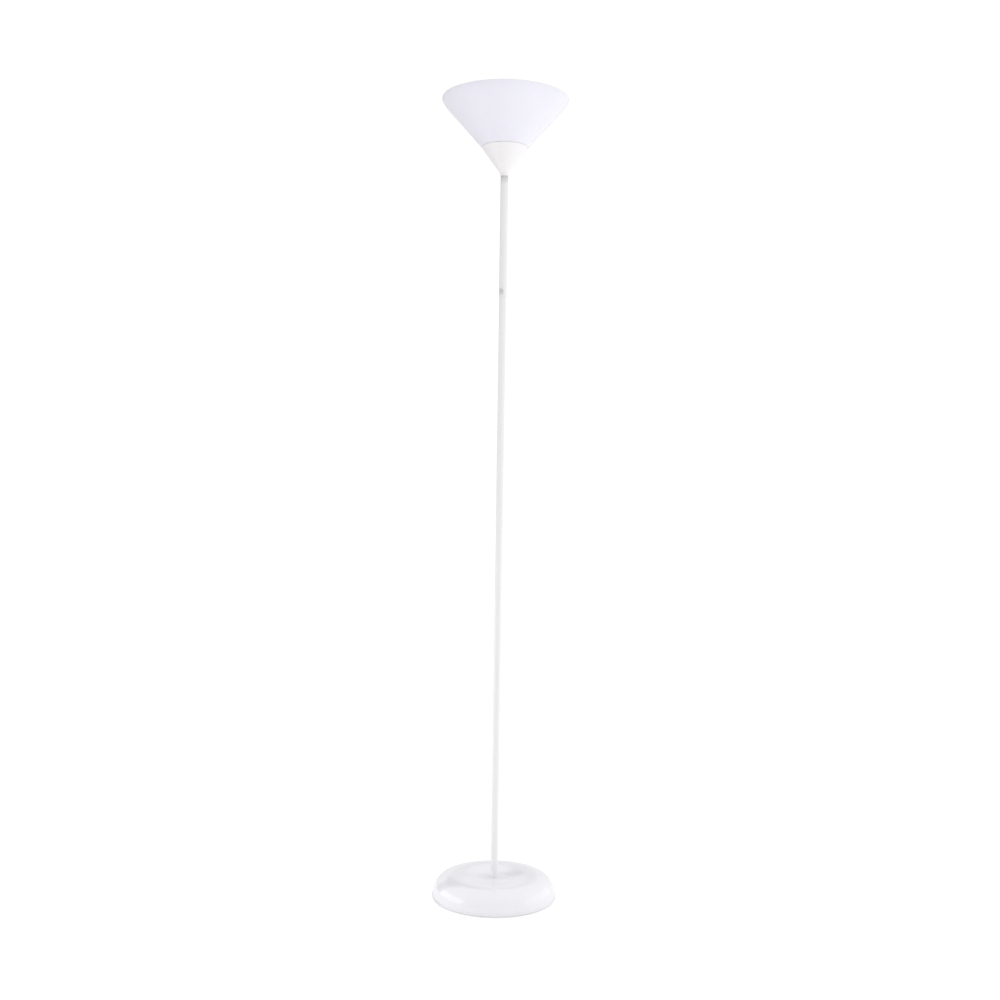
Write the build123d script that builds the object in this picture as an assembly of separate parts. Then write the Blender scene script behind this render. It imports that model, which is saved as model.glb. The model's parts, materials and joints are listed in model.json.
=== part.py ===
from build123d import *
import os
from math import atan2, cos, degrees, radians, sin, sqrt, tan

# Torchiere floor lamp: weighted base, sectional pole, turn switch, cone cup and drop-in cone shade.
# Millimetres. +Z is up, the floor is z = 0 and the pole stands on the Z axis. The back is +Y.

os.makedirs("parts", exist_ok=True)

# ---- driving dimensions -------------------------------------------------------------------------
# base
base_r = 139.7          # edge of the skirt
skirt_low, skirt_high = 4.5, 6.2
skirt_edge = 0.5        # rounding of the skirt's edge, as a chamfer
bun_r, bun_low = 137.2, 7.5     # foot of the bun, just above the skirt
bun_rise, bun_reach = 27.0, 34.0    # how upright its foot is and how flat its crest
crest_r = 92.0          # ring where the bun is highest
crest_z = 48.3
dish_z = 43.0           # floor of the shallow dish round the pole
dish_r = 20.0           # flat part of that floor
base_wall = 2.5
plate_r, plate_low, plate_high = 138.7, 1.6, 4.2
spigot_r, spigot_wall, spigot_high = 134.2, 2.0, 5.8    # ring on the plate that centres the cover
boss_count, boss_ring_r, boss_r = 3, 122.0, 5.0
screw_r, screw_length, screw_head_r, screw_head = 1.75, 14.0, 3.4, 1.5
screw_seat = 3.2        # floor of the recess that holds a screw's head
foot_count, foot_ring_r, foot_r = 6, 116.0, 9.0
weight_r, weight_low, weight_high = 112.0, 5.5, 36.0
web_low = 30.5          # underside of the weight's middle, where the washer bears
pocket_r, boss_pad_r = 26.0, 20.0

# pole
tube_r, tube_wall = 8.0, 0.8
top_tube_r = 8.75
tube_count = 4
switch_tube_low = 1357.0
pole_top = 1626.0
insert_length = 14.0
thread_r, thread_room, thread_length = 5.0, 0.05, 10.0
wire_bore_r = 3.5
insert_room = 0.02      # between an insert and its tube

# turn switch
switch_z = 1366.4
switch_turn = 15.0      # degrees from straight ahead (-Y) towards -X
spindle_r, spindle_room = 1.75, 0.05
bushing_r = 3.3
key_width, key_height, key_low, key_high = 4.6, 13.0, 13.2, 21.8

# cup and shade
head_low = 1629.0       # underside of the cup, on the nut that locks it
neck_r, cup_floor_high, cone_low = 9.8, 1637.5, 1635.0
cup_rim_r, cup_rim_z, cup_wall = 52.9, 1693.6, 2.2
cup_mouth_r, rim_depth = 46.8, 2.0
seat_gap = 0.3          # between the shade's foot and the cup's rim
shade_foot_r = 53.0
rim_r, rim_z = 143.5, 1803.0
shade_wall = 1.8
rim_edge = 1.2          # rounding of the shade's rim, as a chamfer
foot_slope, foot_reach = 0.87, 75.0     # how far the shade leaves its foot in a straight cone
rim_slope, rim_reach = 0.25, 12.0       # and how steeply it comes up to its rim
collar_r, collar_wall, collar_low = 46.4, 1.8, 1689.4
seam_edge = 0.5

# lampholder and bulb: E26 screw cap, A19 globe
holder_r, holder_wall = 18.5, 2.0
cap_low, cap_high = 1643.5, 1660.0
holder_top = 1695.0
pitch = 3.63
bulb_low = 1667.0       # centre contact
bulb_cap_r, thread_depth = 13.1, 0.8
globe_r, globe_z = 30.0, 1746.0
globe_foot_z = 1738.0

# wiring
gland_z, gland_bore_r = 11.0, 3.1
lead_r, lead_bend_r, lead_top = 2.5, 13.0, 1335.0
core_r, core_side = 1.0, 1.3
bypass_v = 6.2          # cores run this far off the axis to pass the switch


# ---- helpers ------------------------------------------------------------------------------------
def save(name, shape):
    export_step(shape, f"parts/{name}.step")


def rod(radius, low, high):
    stock = Cylinder(radius, high - low, align=(Align.CENTER, Align.CENTER, Align.MIN))
    return Pos(0, 0, low) * stock


def ring(outer, inner, low, high):
    return rod(outer, low, high) - rod(inner, low - 1, high + 1)


def spin(*outline):
    """Solid of revolution about Z from edges, or from points, given as (radius, height)."""
    if isinstance(outline[0], tuple):
        outline = [Polyline(*outline, close=True)]
    edges = [edge for line in outline for edge in line.edges()]
    return revolve(Plane.XZ * make_face(edges), Axis.Z)


def around(count, radius, shape, start=0.0):
    """Equal copies of a shape on a ring, as one list."""
    spots = PolarLocations(radius, count, start_angle=start)
    return [spot * shape for spot in spots]


def hex_nut(across_flats, bore, low, high):
    """Hexagon nut on the Z axis with its corners turned off at 30 degrees."""
    corner = across_flats / sqrt(3)
    drop = (corner - across_flats / 2) * tan(radians(30))
    body = Pos(0, 0, low) * extrude(RegularPolygon(corner, 6), high - low)
    turned = spin(
        (0, low), (across_flats / 2, low), (corner, low + drop),
        (corner, high - drop), (across_flats / 2, high), (0, high),
    )
    return (body & turned) - rod(bore, low - 1, high + 1)


def wire(points, radii, thickness):
    """Round wire of a given radius along straight runs joined by tangent arcs."""
    path = FilletPolyline(*points, radius=radii)
    start = Plane(origin=path @ 0, z_dir=path % 0)
    return sweep(start * Circle(thickness), path=path)


# The switch's own frame: local Z points out through the tube wall, local X is level and local Y is up.
turn = radians(switch_turn)
switch_frame = Plane(
    origin=(0, 0, switch_z), x_dir=(cos(turn), -sin(turn), 0), z_dir=(-sin(turn), -cos(turn), 0)
)


def across(v, z):
    """A point v to the side of the pole's axis in the switch's frame, at height z."""
    return (v * cos(turn), -v * sin(turn), z)


# ---- base ---------------------------------------------------------------------------------------
def bun_edges(foot_r, top_z, low_z):
    """Outline from the bun's foot over its crest and down into the dish, as edges."""
    shoulder = Bezier(
        (foot_r, low_z), (foot_r, low_z + bun_rise), (crest_r + bun_reach, top_z), (crest_r, top_z)
    )
    floor_z = top_z - (crest_z - dish_z)
    dish = Bezier(
        (crest_r, top_z), (crest_r - 30, top_z), (dish_r + 25, floor_z), (dish_r, floor_z)
    )
    return shoulder, dish, (dish_r, floor_z)


def base_cover():
    outer_bun, outer_dish, outer_flat = bun_edges(bun_r, crest_z, bun_low)
    inner_r = bun_r - base_wall
    inner_bun, inner_dish, inner_flat = bun_edges(inner_r, crest_z - base_wall, bun_low)
    hole = thread_r + 0.2
    skirt_top = (base_r - skirt_edge, skirt_high)
    flare = Bezier(skirt_top, (bun_r + 0.8, skirt_high), (bun_r, skirt_high + 0.4), (bun_r, bun_low))
    section = [
        Polyline(
            (inner_r, bun_low), (inner_r, skirt_low), (base_r - skirt_edge, skirt_low),
            (base_r, skirt_low + skirt_edge), (base_r, skirt_high - skirt_edge), skirt_top,
        ),
        flare,
        outer_bun,
        outer_dish,
        Polyline(outer_flat, (hole, outer_flat[1]), (hole, inner_flat[1]), inner_flat),
        inner_dish,
        inner_bun,
    ]
    shell = spin(*section)
    filled = spin(
        Line((0, plate_high), (bun_r - 1, plate_high)),
        Line((bun_r - 1, plate_high), (bun_r - 1, bun_low)),
        *bun_edges(bun_r - 1, crest_z - 1, bun_low)[:2],
        Line((dish_r, dish_z - 1), (0, dish_z - 1)),
        Line((0, dish_z - 1), (0, plate_high)),
    )
    boss = rod(boss_r, plate_high, crest_z)
    for lug in around(boss_count, boss_ring_r, boss, start=30):
        shell += lug & filled
    pilot = rod(screw_r + 0.05, plate_high - 1, plate_high + screw_length)
    for hole in around(boss_count, boss_ring_r, pilot, start=30):
        shell -= hole
    return shell - gland_solid(5.7, 136.2, 152) - gland_solid(4.1, 127, 142)


def gland_solid(radius, near, far):
    """Cylinder along +Y at the gland's height, between two distances from the pole's axis."""
    return Plane(origin=(0, 0, gland_z), z_dir=(0, 1, 0)) * rod(radius, near, far)


def cord_gland():
    """Bush with a flange each side of the base's wall and a round mouth for the cord."""
    bush = spin(
        (gland_bore_r, 131.0), (5.0, 131.0), (5.0, 133.4), (4.0, 133.4), (4.0, 136.3),
        (5.5, 136.3), (5.5, 140.3), (4.4, 142.2), (gland_bore_r + 0.4, 142.2),
        (gland_bore_r, 141.6),
    )
    return Plane(origin=(0, 0, gland_z), z_dir=(0, 1, 0)) * bush


def base_weight():
    """Cast disc, clamped through its middle, with a pocket below and a groove for the lead."""
    edge = 4.0
    disc = spin(
        (0, weight_low), (weight_r - 1, weight_low), (weight_r, weight_low + 1),
        (weight_r, weight_high - edge), (weight_r - edge, weight_high),
        (boss_pad_r + 1, weight_high), (boss_pad_r, dish_z - base_wall - 0.1),
        (0, dish_z - base_wall - 0.1),
    )
    groove = Pos(0, weight_r / 2, weight_low) * Box(9.0, weight_r + 4, 20.0)
    disc -= groove
    disc -= rod(pocket_r, weight_low - 1, web_low)
    return disc - rod(thread_r + 0.3, web_low - 1, crest_z)


def base_plate():
    """Disc that closes the base, with a ring to centre it and a recess for each screw's head."""
    plate = rod(plate_r, plate_low, plate_high)
    plate += ring(spigot_r, spigot_r - spigot_wall, plate_high, spigot_high)
    hole = rod(screw_r + 0.2, 0, plate_high + 1) + rod(screw_head_r + 0.3, 0, screw_seat)
    for recess in around(boss_count, boss_ring_r, hole, start=30):
        plate -= recess
    return plate


def plate_screw():
    """Pan-head screw driven up into a boss, with a cross recess."""
    tip = plate_high + screw_length - 1.5
    head_z = screw_seat - screw_head
    body = spin(
        (0, head_z), (screw_head_r - 0.9, head_z), (screw_head_r, screw_seat - 0.4),
        (screw_head_r, screw_seat), (screw_r, screw_seat), (screw_r, tip - 2.0), (0.4, tip), (0, tip),
    )
    slot = Pos(0, 0, head_z) * Box(3.4, 0.8, 1.6)
    return body - slot - Rot(0, 0, 90) * slot


def base_foot():
    return spin(
        (0, 0), (foot_r - 0.5, 0), (foot_r, 0.5), (foot_r, plate_low), (0, plate_low)
    )


save("base_cover", base_cover())
save("base_weight", base_weight())
save("base_plate", base_plate())
save("base_feet", Compound(around(foot_count, foot_ring_r, base_foot())))
save("plate_screws", Compound(around(boss_count, boss_ring_r, plate_screw(), start=30)))
save("cord_gland", cord_gland())
save("foot_washer", ring(13.0, thread_r + 0.2, web_low - 1.5, web_low))
save("foot_nut", hex_nut(14.0, thread_r + thread_room, web_low - 5.5, web_low - 1.5))


# ---- pole ---------------------------------------------------------------------------------------
def tube(radius, low, high):
    """Thin tube whose outer corners are just broken, so that a joint shows as a hairline."""
    edge = 0.3
    inner = radius - tube_wall
    return spin(
        (inner, low), (radius - edge, low), (radius, low + edge), (radius, high - edge),
        (radius - edge, high), (inner, high),
    )


def stud(tube_radius, joint_z, thread_low):
    """Plug in the lower end of a tube, with a hollow thread below it."""
    fit_r = tube_radius - tube_wall - insert_room
    return spin(
        (wire_bore_r, thread_low), (thread_r - 0.6, thread_low), (thread_r, thread_low + 0.6),
        (thread_r, joint_z), (fit_r, joint_z), (fit_r, joint_z + insert_length),
        (wire_bore_r, joint_z + insert_length),
    )


def socket(tube_radius, joint_z):
    """Plug in the upper end of a tube, threaded inside for the stud above it."""
    fit_r = tube_radius - tube_wall - insert_room
    low = joint_z - insert_length
    step = joint_z - thread_length - 0.5
    bore = thread_r + thread_room
    return spin(
        (wire_bore_r, low), (fit_r, low), (fit_r, joint_z), (bore, joint_z), (bore, step),
        (wire_bore_r, step),
    )


def short_plug():
    """Shallow plug under the switch, flared inside so that the cores can spread."""
    fit_r = top_tube_r - tube_wall - insert_room
    low = switch_tube_low
    flare_r = fit_r - 0.7
    flare_low = low - 1.0
    return spin(
        (wire_bore_r, low - thread_length), (thread_r - 0.6, low - thread_length),
        (thread_r, low - thread_length + 0.6), (thread_r, low), (fit_r, low), (fit_r, low + 4.3),
        (flare_r, low + 4.3), (flare_r, flare_low + flare_r - wire_bore_r), (wire_bore_r, flare_low),
    )


section_length = (switch_tube_low - dish_z) / tube_count
joints = [dish_z + section_length * i for i in range(tube_count + 1)]
stud_foot = web_low - 6.5
for i in range(tube_count):
    low, high = joints[i], joints[i + 1]
    save(f"pole_tube_{i + 1}", tube(tube_r, low, high))
    save(f"tube_stud_{i + 1}", stud(tube_r, low, low - thread_length if i else stud_foot))
    save(f"tube_socket_{i + 1}", socket(tube_r, high))

switch_hole = switch_frame * rod(bushing_r + 0.15, 0, 20)
save("switch_tube", tube(top_tube_r, switch_tube_low, pole_top) - switch_hole)
save("switch_tube_plug", short_plug())
save("tube_socket_5", socket(top_tube_r, pole_top))


# ---- turn switch, in its own frame --------------------------------------------------------------
body_low, body_high = -4.6, 15.6    # below and above the spindle
body_back, body_front, body_side = -5.5, 6.0, 4.0
saddle_out, nut_out = 10.1, 12.1
rotor_r, rotor_back, rotor_front = 2.8, -1.7, 2.9


def switch_body():
    width, height, depth = 2 * body_side, body_high - body_low, body_front - body_back
    middle = ((body_high + body_low) / 2, (body_front + body_back) / 2)
    case = Pos(0, *middle) * Box(width, height, depth)
    case = chamfer(case.edges(), 1.2)
    case -= rod(rotor_r + 0.3, rotor_back - 0.3, rotor_front + 0.3)
    return case - rod(spindle_r + 0.1, 0, body_front + 1)


def switch_rotor():
    """Four-lobed cam that the spindle turns between the contacts."""
    cam = rod(rotor_r, rotor_back, rotor_front) & Box(4.8, 4.8, 20)
    return cam - rod(spindle_r + 0.01, rotor_back - 1, rotor_front + 1)


def switch_saddle():
    """Washer that is hollowed to sit on the round tube and flat for the nut."""
    washer = ring(5.8, bushing_r + 0.1, 6.0, saddle_out)
    return switch_frame * washer - rod(top_tube_r + 0.01, switch_z - 20, switch_z + 20)


def switch_nut():
    """Ring nut with a fluted edge for the fingers."""
    nut = ring(5.4, bushing_r + thread_room, saddle_out, nut_out)
    for flute in around(20, 5.55, rod(0.45, saddle_out - 1, nut_out + 1)):
        nut -= flute
    return nut


def switch_knob():
    """Flat key on a round hub, upright at rest."""
    height = key_high - key_low
    blade = Pos(0, 0, key_low + height / 2) * Box(key_width, key_height, height)
    blade = fillet(blade.edges().filter_by(Axis.Z), 1.6)
    blade = fillet(blade.faces().sort_by(Axis.Z)[-1].edges(), 0.9)
    knob = blade + rod(4.2, key_low, key_low + 2.2)
    return knob - rod(spindle_r + 0.01, key_low - 1, key_high - 2.2)


def blade_terminal(v, top):
    """Solder blade that stands on the switch body."""
    height = top - body_high
    return Pos(v, body_high + height / 2, 0) * Box(0.8, height, 4.0)


live_z, switched_z = switch_z + 19.1, switch_z + 23.6    # where the cores meet their blades
live_blade_v, switched_blade_v = 2.4, -3.2
blades = [
    blade_terminal(live_blade_v, live_z - switch_z + 1.5),
    blade_terminal(switched_blade_v, switched_z - switch_z + 1.5),
]
bushing = ring(bushing_r, spindle_r + spindle_room, body_front, nut_out + 0.7)
save("switch_body", switch_frame * switch_body())
save("switch_rotor", switch_frame * switch_rotor())
save("switch_spindle", switch_frame * rod(spindle_r, rotor_back, key_high - 2.4))
save("switch_bushing", switch_frame * bushing)
save("switch_saddle", switch_saddle())
save("switch_nut", switch_frame * switch_nut())
save("switch_terminals", Compound([switch_frame * blade for blade in blades]))
save("switch_knob", switch_frame * switch_knob())


# ---- cup and shade ------------------------------------------------------------------------------
def head_cup():
    """Opaque cone on the pole, with its rim turned in to carry the shade."""
    slope = (cup_rim_r - neck_r) / (cup_rim_z - cone_low)
    inset = cup_wall * sqrt(1 + slope ** 2)
    hole = thread_r + 0.2
    under_rim = cup_rim_z - rim_depth
    floor_r = neck_r - inset + slope * (cup_floor_high - cone_low)
    return spin(
        (hole, head_low), (neck_r - 0.8, head_low), (neck_r, head_low + 0.8), (neck_r, cone_low),
        (cup_rim_r - slope * seam_edge, cup_rim_z - seam_edge), (cup_rim_r - seam_edge, cup_rim_z),
        (cup_mouth_r, cup_rim_z), (cup_mouth_r, under_rim),
        (cup_rim_r - slope * rim_depth - inset, under_rim), (floor_r, cup_floor_high),
        (hole, cup_floor_high),
    )


def shade_curve(foot, rim):
    """One side of the shade's wall: a straight cone that turns steeper near the rim."""
    return Bezier(
        foot, foot + Vector(foot_slope, 1) * foot_reach, rim - Vector(rim_slope, 1) * rim_reach, rim
    )


def shade():
    """Translucent cone with a plain rounded rim, and a collar at its foot that drops into the cup."""
    foot_z = cup_rim_z + seat_gap
    floor_z = foot_z + shade_wall
    level = shade_wall * sqrt(1 + foot_slope ** 2)
    outer_foot = Vector(shade_foot_r, foot_z + seam_edge)
    outer_rim = Vector(rim_r, rim_z - rim_edge)
    inner_foot = Vector(shade_foot_r + foot_slope * (shade_wall - seam_edge) - level, floor_z)
    inner_rim = Vector(rim_r - level, rim_z - rim_edge)
    return spin(
        Polyline(
            inner_foot, (collar_r - collar_wall, floor_z), (collar_r - collar_wall, collar_low),
            (collar_r, collar_low), (collar_r, foot_z), (shade_foot_r - seam_edge, foot_z), outer_foot,
        ),
        shade_curve(outer_foot, outer_rim),
        ThreePointArc(outer_rim, (rim_r - level / 2, rim_z), inner_rim),
        shade_curve(inner_foot, inner_rim),
    )


nipple = ring(thread_r, wire_bore_r, pole_top - thread_length - 0.2, cap_low + 5.5)
save("head_nipple", nipple)
save("neck_nut", hex_nut(14.0, thread_r + thread_room, pole_top, head_low))
save("head_cup", head_cup())
save("cup_washer", ring(8.0, thread_r + 0.2, cup_floor_high, cup_floor_high + 1))
save("cup_nut", hex_nut(13.0, thread_r + thread_room, cup_floor_high + 1, cup_floor_high + 5))
save("shade", shade())


# ---- lampholder ---------------------------------------------------------------------------------
insulator_top = cap_high + 4.0
terminal_v = 8.0
core_top = cap_low + 9.0


def holder_cap():
    """Lower half of the holder, a cone-sided bowl that screws on the nipple."""
    shoulder = cap_low + 9.5
    return spin(
        (thread_r + thread_room, cap_low), (10.0, cap_low), (11.0, cap_low + 1.0),
        (holder_r, shoulder), (holder_r, cap_high), (holder_r - holder_wall, cap_high),
        (holder_r - holder_wall, shoulder + 1.0), (9.6, cap_low + 3.0),
        (thread_r + thread_room, cap_low + 3.0),
    )


def holder_shell():
    """Upper half of the holder: a ribbed sleeve with its mouth turned in round the bulb."""
    inner = holder_r - holder_wall
    mouth = 14.3
    sleeve = spin(
        (inner, cap_high), (holder_r, cap_high), (holder_r, holder_top - 1.5),
        (holder_r - 1.5, holder_top), (mouth, holder_top), (mouth, holder_top - 2.0),
        (inner, holder_top - 2.0),
    )
    rib = rod(0.8, cap_high + 6, holder_top - 8)
    for bar in around(24, holder_r, rib):
        sleeve += bar
    return sleeve


def rolled_wall(crest, root, thickness, low, turns):
    """Points up the inside and down the outside of a sleeve rolled into ridges, one per pitch."""
    inside = []
    for i in range(2 * turns + 1):
        inside.append((root if i % 2 else crest, low + i * pitch / 2))
    outside = [(radius + thickness, height) for radius, height in reversed(inside)]
    return inside + outside


def screw_shell():
    """Brass sleeve rolled into ridges, on a flange that lies on the insulator."""
    ridges = rolled_wall(bulb_cap_r + 0.4, bulb_cap_r + 1.1, 0.45, insulator_top + 3.0, 7)
    sleeve = spin(*ridges)
    skirt_r = bulb_cap_r + 0.4
    skirt = spin(
        (9.0, insulator_top), (skirt_r + 0.45, insulator_top), (skirt_r + 0.45, insulator_top + 3.0),
        (skirt_r, insulator_top + 3.0), (skirt_r, insulator_top + 0.5), (9.0, insulator_top + 0.5),
    )
    return sleeve + skirt


def holder_contact():
    """Springy strip that reaches up to the bulb's centre contact."""
    z = insulator_top
    side = Polyline(
        (-7, z), (-3, z), (1.5, z + 2.2), (3, z + 2.2), (3, z + 2.7), (1.3, z + 2.7),
        (-3.2, z + 0.5), (-7, z + 0.5), close=True,
    )
    return extrude(make_face(Plane.XZ * side), 3.0, both=True)


def holder_terminal(v):
    tab = Box(0.8, 4.0, cap_high - core_top + 2.0)
    x, y, z = across(v, (cap_high + core_top - 2.0) / 2)
    return Pos(x, y, z) * Rot(0, 0, -switch_turn) * tab


save("holder_cap", holder_cap())
save("holder_insulator", rod(holder_r - holder_wall - 0.1, cap_high, insulator_top))
save("holder_shell", holder_shell())
save("screw_shell", screw_shell())
save("holder_contact", holder_contact())
save("holder_terminals", Compound([holder_terminal(v) for v in (terminal_v, -terminal_v)]))


# ---- bulb ---------------------------------------------------------------------------------------
insulator_low = bulb_low + 1.4
bulb_cap_low = bulb_low + 5.0
bulb_turns = 5
bulb_cap_top = bulb_cap_low + bulb_turns * pitch + 1.5
bulb_bore = bulb_cap_r - thread_depth - 0.5
globe_wall = 1.5
globe_foot_r = sqrt(globe_r ** 2 - (globe_z - globe_foot_z) ** 2)


def bulb_cap():
    """Thin metal cap rolled into ridges, with a short plain band at its top."""
    ridges = [(bulb_bore, bulb_cap_top), (bulb_bore, bulb_cap_low)]
    for i in range(2 * bulb_turns + 1):
        radius = bulb_cap_r if i % 2 else bulb_cap_r - thread_depth
        ridges.append((radius, bulb_cap_low + i * pitch / 2))
    ridges.append((bulb_cap_r - thread_depth, bulb_cap_top))
    return spin(*ridges)


def bulb_body():
    """Hollow flared body between the cap and the globe."""
    wall = 1.8
    neck_z = bulb_cap_top + 0.1
    waist_z = neck_z + 3.4
    plug_r = bulb_bore - 0.1
    waist_r = bulb_cap_r + 0.2
    outer = Bezier(
        (waist_r, waist_z), (waist_r + 0.4, waist_z + 15), (globe_foot_r - 5, globe_foot_z - 18),
        (globe_foot_r, globe_foot_z),
    )
    inner = Bezier(
        (globe_foot_r - wall, globe_foot_z), (globe_foot_r - 5 - wall, globe_foot_z - 18),
        (waist_r + 0.4 - wall, waist_z + 15), (waist_r - wall, waist_z),
    )
    return spin(
        outer,
        Line((globe_foot_r, globe_foot_z), (globe_foot_r - wall, globe_foot_z)),
        inner,
        Polyline(
            (waist_r - wall, waist_z), (plug_r - wall, neck_z), (plug_r - wall, bulb_cap_low + 2.0),
            (plug_r, bulb_cap_low + 2.0), (plug_r, neck_z), (waist_r, neck_z), (waist_r, waist_z),
        ),
    )


def bulb_globe():
    inner_r = globe_r - globe_wall
    low = globe_foot_z + 0.05
    swing_out = degrees(atan2(low - globe_z, sqrt(globe_r ** 2 - (globe_z - low) ** 2)))
    swing_in = degrees(atan2(low - globe_z, sqrt(inner_r ** 2 - (globe_z - low) ** 2)))
    outer = CenterArc((0, globe_z), globe_r, swing_out, 90 - swing_out)
    inner = CenterArc((0, globe_z), inner_r, swing_in, 90 - swing_in)
    return spin(
        outer, Line(outer @ 1, inner @ 1), inner, Line(inner @ 0, outer @ 0)
    )


def bulb_led_board():
    board = rod(24.0, globe_foot_z - 2.0, globe_foot_z - 0.4)
    chip = Pos(0, 0, globe_foot_z) * Box(3.0, 3.0, 0.8)
    for piece in around(10, 16.0, chip):
        board += piece
    return board


bulb_insulator = spin(
    (0, insulator_low), (5.0, insulator_low), (bulb_bore - 0.1, bulb_cap_low),
    (bulb_bore - 0.1, bulb_cap_low + 1.8), (0, bulb_cap_low + 1.8),
)
bulb_contact = spin(
    (0, bulb_low), (3.4, bulb_low), (4.4, bulb_low + 0.8), (4.4, insulator_low), (0, insulator_low)
)
save("bulb_contact", bulb_contact)
save("bulb_insulator", bulb_insulator)
save("bulb_cap", bulb_cap())
save("bulb_body", bulb_body())
save("bulb_led_board", bulb_led_board())
save("bulb_globe", bulb_globe())


# ---- wiring held inside the lamp ----------------------------------------------------------------
lead_start = 130.8
spread_low, spread_high = switch_tube_low - 1.0, switch_z - 2.9
close_low, close_high = pole_top - 39.0, pole_top - 27.0
blade_gap = 0.45
supply_lead = wire(
    [(0, lead_start, gland_z), (0, 0, gland_z), (0, 0, lead_top)], lead_bend_r, lead_r
)
core_live = wire(
    [
        across(core_side, lead_top), across(core_side, spread_low), across(bypass_v, spread_high),
        across(bypass_v, live_z), across(live_blade_v + blade_gap, live_z),
    ],
    [6.0, 6.0, 3.0],
    core_r,
)
core_neutral = wire(
    [
        across(-core_side, lead_top), across(-core_side, spread_low),
        across(-bypass_v, spread_high), across(-bypass_v, close_low),
        across(-core_side, close_high), across(-core_side, core_top),
        across(-terminal_v + blade_gap, core_top),
    ],
    [6.0, 6.0, 12.0, 12.0, 3.0],
    core_r,
)
core_switched = wire(
    [
        across(switched_blade_v + blade_gap, switched_z), across(core_side, switched_z),
        across(core_side, core_top), across(terminal_v - blade_gap, core_top),
    ],
    [3.0, 3.0],
    core_r,
)
save("supply_lead", supply_lead)
save("core_live", core_live)
save("core_neutral", core_neutral)
save("core_switched", core_switched)
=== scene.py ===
"""Torchiere floor lamp: the looks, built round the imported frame. Metres, +Z up, the front is -Y."""
import json
import math

import bmesh
import bpy
from mathutils import Matrix, Vector

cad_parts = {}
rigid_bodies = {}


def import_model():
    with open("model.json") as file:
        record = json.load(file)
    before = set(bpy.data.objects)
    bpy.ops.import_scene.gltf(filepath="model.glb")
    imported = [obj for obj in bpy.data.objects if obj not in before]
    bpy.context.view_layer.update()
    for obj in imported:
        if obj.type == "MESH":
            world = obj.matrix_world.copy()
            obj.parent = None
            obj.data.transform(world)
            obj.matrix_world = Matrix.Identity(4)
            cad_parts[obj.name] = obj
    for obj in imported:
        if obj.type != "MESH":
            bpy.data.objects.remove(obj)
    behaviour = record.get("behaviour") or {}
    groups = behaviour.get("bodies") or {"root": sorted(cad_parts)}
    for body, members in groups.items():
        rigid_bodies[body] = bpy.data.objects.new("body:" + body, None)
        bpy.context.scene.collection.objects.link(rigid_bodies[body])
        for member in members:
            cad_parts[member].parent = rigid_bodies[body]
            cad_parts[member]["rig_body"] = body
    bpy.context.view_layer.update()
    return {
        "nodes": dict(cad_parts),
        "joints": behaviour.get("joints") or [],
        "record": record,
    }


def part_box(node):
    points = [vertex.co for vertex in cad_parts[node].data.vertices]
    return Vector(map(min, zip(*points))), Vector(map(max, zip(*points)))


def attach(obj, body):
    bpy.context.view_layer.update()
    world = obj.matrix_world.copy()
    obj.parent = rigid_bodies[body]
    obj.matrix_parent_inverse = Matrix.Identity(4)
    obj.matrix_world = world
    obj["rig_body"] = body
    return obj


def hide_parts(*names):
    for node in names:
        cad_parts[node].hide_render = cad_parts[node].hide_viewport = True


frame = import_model()

MM = 0.001
TURN = 2 * math.pi
FINE = 192                  # steps round the base, the cup and the shade
MEDIUM = 96                 # round a tube or a cap
COARSE = 64                 # round a piece that states no other number
SMALL = 48                  # round a stud, a screw or a pad


# ---- camera and studio --------------------------------------------------------------------------
def make_camera():
    """Level camera at about the middle of the lamp's height, rolled by under a degree."""
    data = bpy.data.cameras.new("camera")
    data.sensor_width = 36.0
    data.lens = 43.29
    data.shift_y = -0.0223
    camera = bpy.data.objects.new("camera", data)
    camera.location = (0.0, -2.721, 0.947)
    roll = math.radians(-0.86)
    camera.rotation_euler = (math.pi / 2, roll, 0.0)
    bpy.context.scene.collection.objects.link(camera)
    bpy.context.scene.camera = camera


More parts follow.
